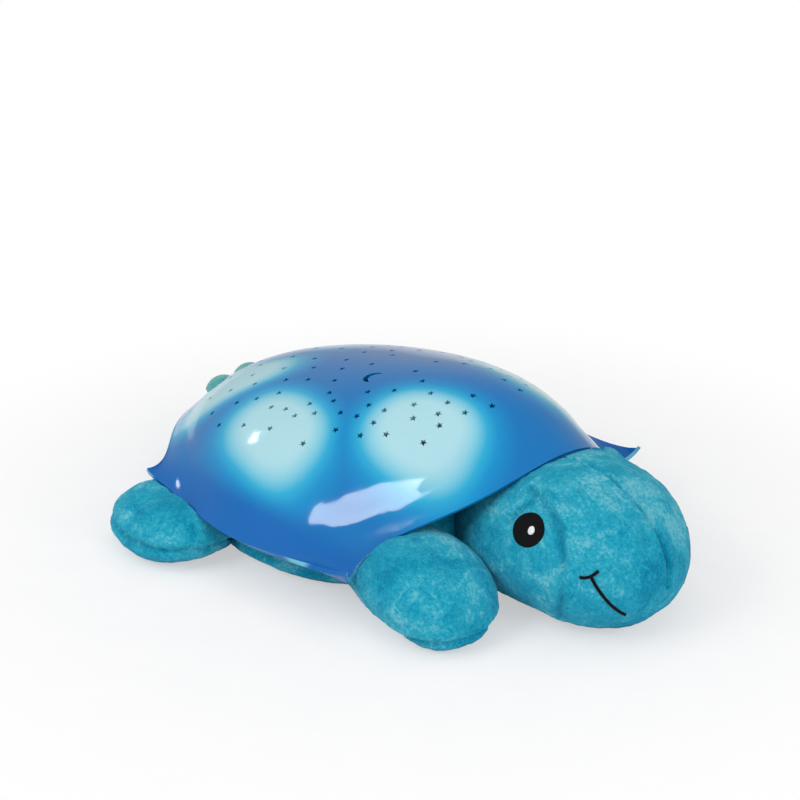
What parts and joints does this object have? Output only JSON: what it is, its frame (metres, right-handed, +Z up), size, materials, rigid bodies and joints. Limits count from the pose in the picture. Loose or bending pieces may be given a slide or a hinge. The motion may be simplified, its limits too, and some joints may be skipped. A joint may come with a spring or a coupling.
{
  "type": "star night light projector",
  "caption": "Stuffed turtle night light with a domed plastic shell, star-shaped light holes, rear push buttons and a fabric flap over the battery door.",
  "frame": {"origin": "on the flat belly that the part rests on, under the middle of the shell's corners", "axes": "+X to the head, +Y to the turtle's left, +Z up"},
  "size_m": [0.3575, 0.2719, 0.0936],
  "materials": {
    "shell_plastic": "polished, clouded blue",
    "tub_plastic": "fine spark texture",
    "white_plastic": "satin",
    "button_plastic": "translucent, polished",
    "circuit_board": "solder mask",
    "black_plastic": "satin",
    "cable_plastic": "satin",
    "clear_blue": "clear epoxy",
    "clear_green": "clear epoxy",
    "clear_amber": "clear epoxy",
    "plated_steel": "bright plated",
    "cell_jacket": "printed sleeve, plain",
    "flap_fabric": "short pile",
    "hook_tape": "woven tape",
    "plush": "short soft pile"
  },
  "bodies": {
    "turtle": {"shell_cover": "shell_plastic", "base_tub": "tub_plastic", "clamp_ring": "tub_plastic", "lamp_board": "circuit_board", "led_blue": "clear_blue", "led_green": "clear_green", "led_amber": "clear_amber", "light_cup": "white_plastic", "timer_chip": "black_plastic", "button_board": "circuit_board", "switch_right": "black_plastic", "switch_middle": "black_plastic", "switch_left": "black_plastic", "ribbon_cable": "cable_plastic", "battery_right": "cell_jacket", "battery_middle": "cell_jacket", "battery_left": "cell_jacket", "contact_springs": "plated_steel", "contact_plates": "plated_steel", "shell_screws": "plated_steel", "ring_screws": "plated_steel", "lamp_board_screws": "plated_steel", "button_board_screws": "plated_steel", "loop_strip": "hook_tape", "plush_body": "plush", "plush_head": "plush", "front_flipper_right": "plush", "front_flipper_left": "plush", "rear_flipper_right": "plush", "rear_flipper_left": "plush", "tail": "plush"},
    "button_right_body": {"button_right": "button_plastic", "plunger_right": "black_plastic"},
    "button_middle_body": {"button_middle": "button_plastic", "plunger_middle": "black_plastic"},
    "button_left_body": {"button_left": "button_plastic", "plunger_left": "black_plastic"},
    "flap": {"belly_flap": "flap_fabric", "hook_strip": "hook_tape"},
    "door": {"battery_door": "tub_plastic", "door_screw": "plated_steel"}
  },
  "joints": [
    {"name": "button_right_press", "type": "slide", "parent": "turtle", "child": "button_right_body", "axis": [0.6377, 0, -0.7703], "range_m": [0, 0.0012], "stiffness_N_per_m": 700, "springref_m": -0.0003},
    {"name": "button_middle_press", "type": "slide", "parent": "turtle", "child": "button_middle_body", "axis": [0.6377, 0, -0.7703], "range_m": [0, 0.0012], "stiffness_N_per_m": 700, "springref_m": -0.0003},
    {"name": "button_left_press", "type": "slide", "parent": "turtle", "child": "button_left_body", "axis": [0.6377, 0, -0.7703], "range_m": [0, 0.0012], "stiffness_N_per_m": 700, "springref_m": -0.0003},
    {"name": "belly_flap_hinge", "type": "hinge", "parent": "turtle", "child": "flap", "pos_m": [-0.108, 0, 0.0004], "axis": [0, 1, 0], "range_deg": [0, 110]},
    {"name": "battery_door_hinge", "type": "hinge", "parent": "turtle", "child": "door", "pos_m": [-0.09855, 0, 0.0071], "axis": [0, 1, 0], "range_deg": [0, 77]}
  ],
  "couplings": [
    {"joint": "battery_door_hinge", "follows": "belly_flap_hinge", "ratio": 0.7}
  ]
}
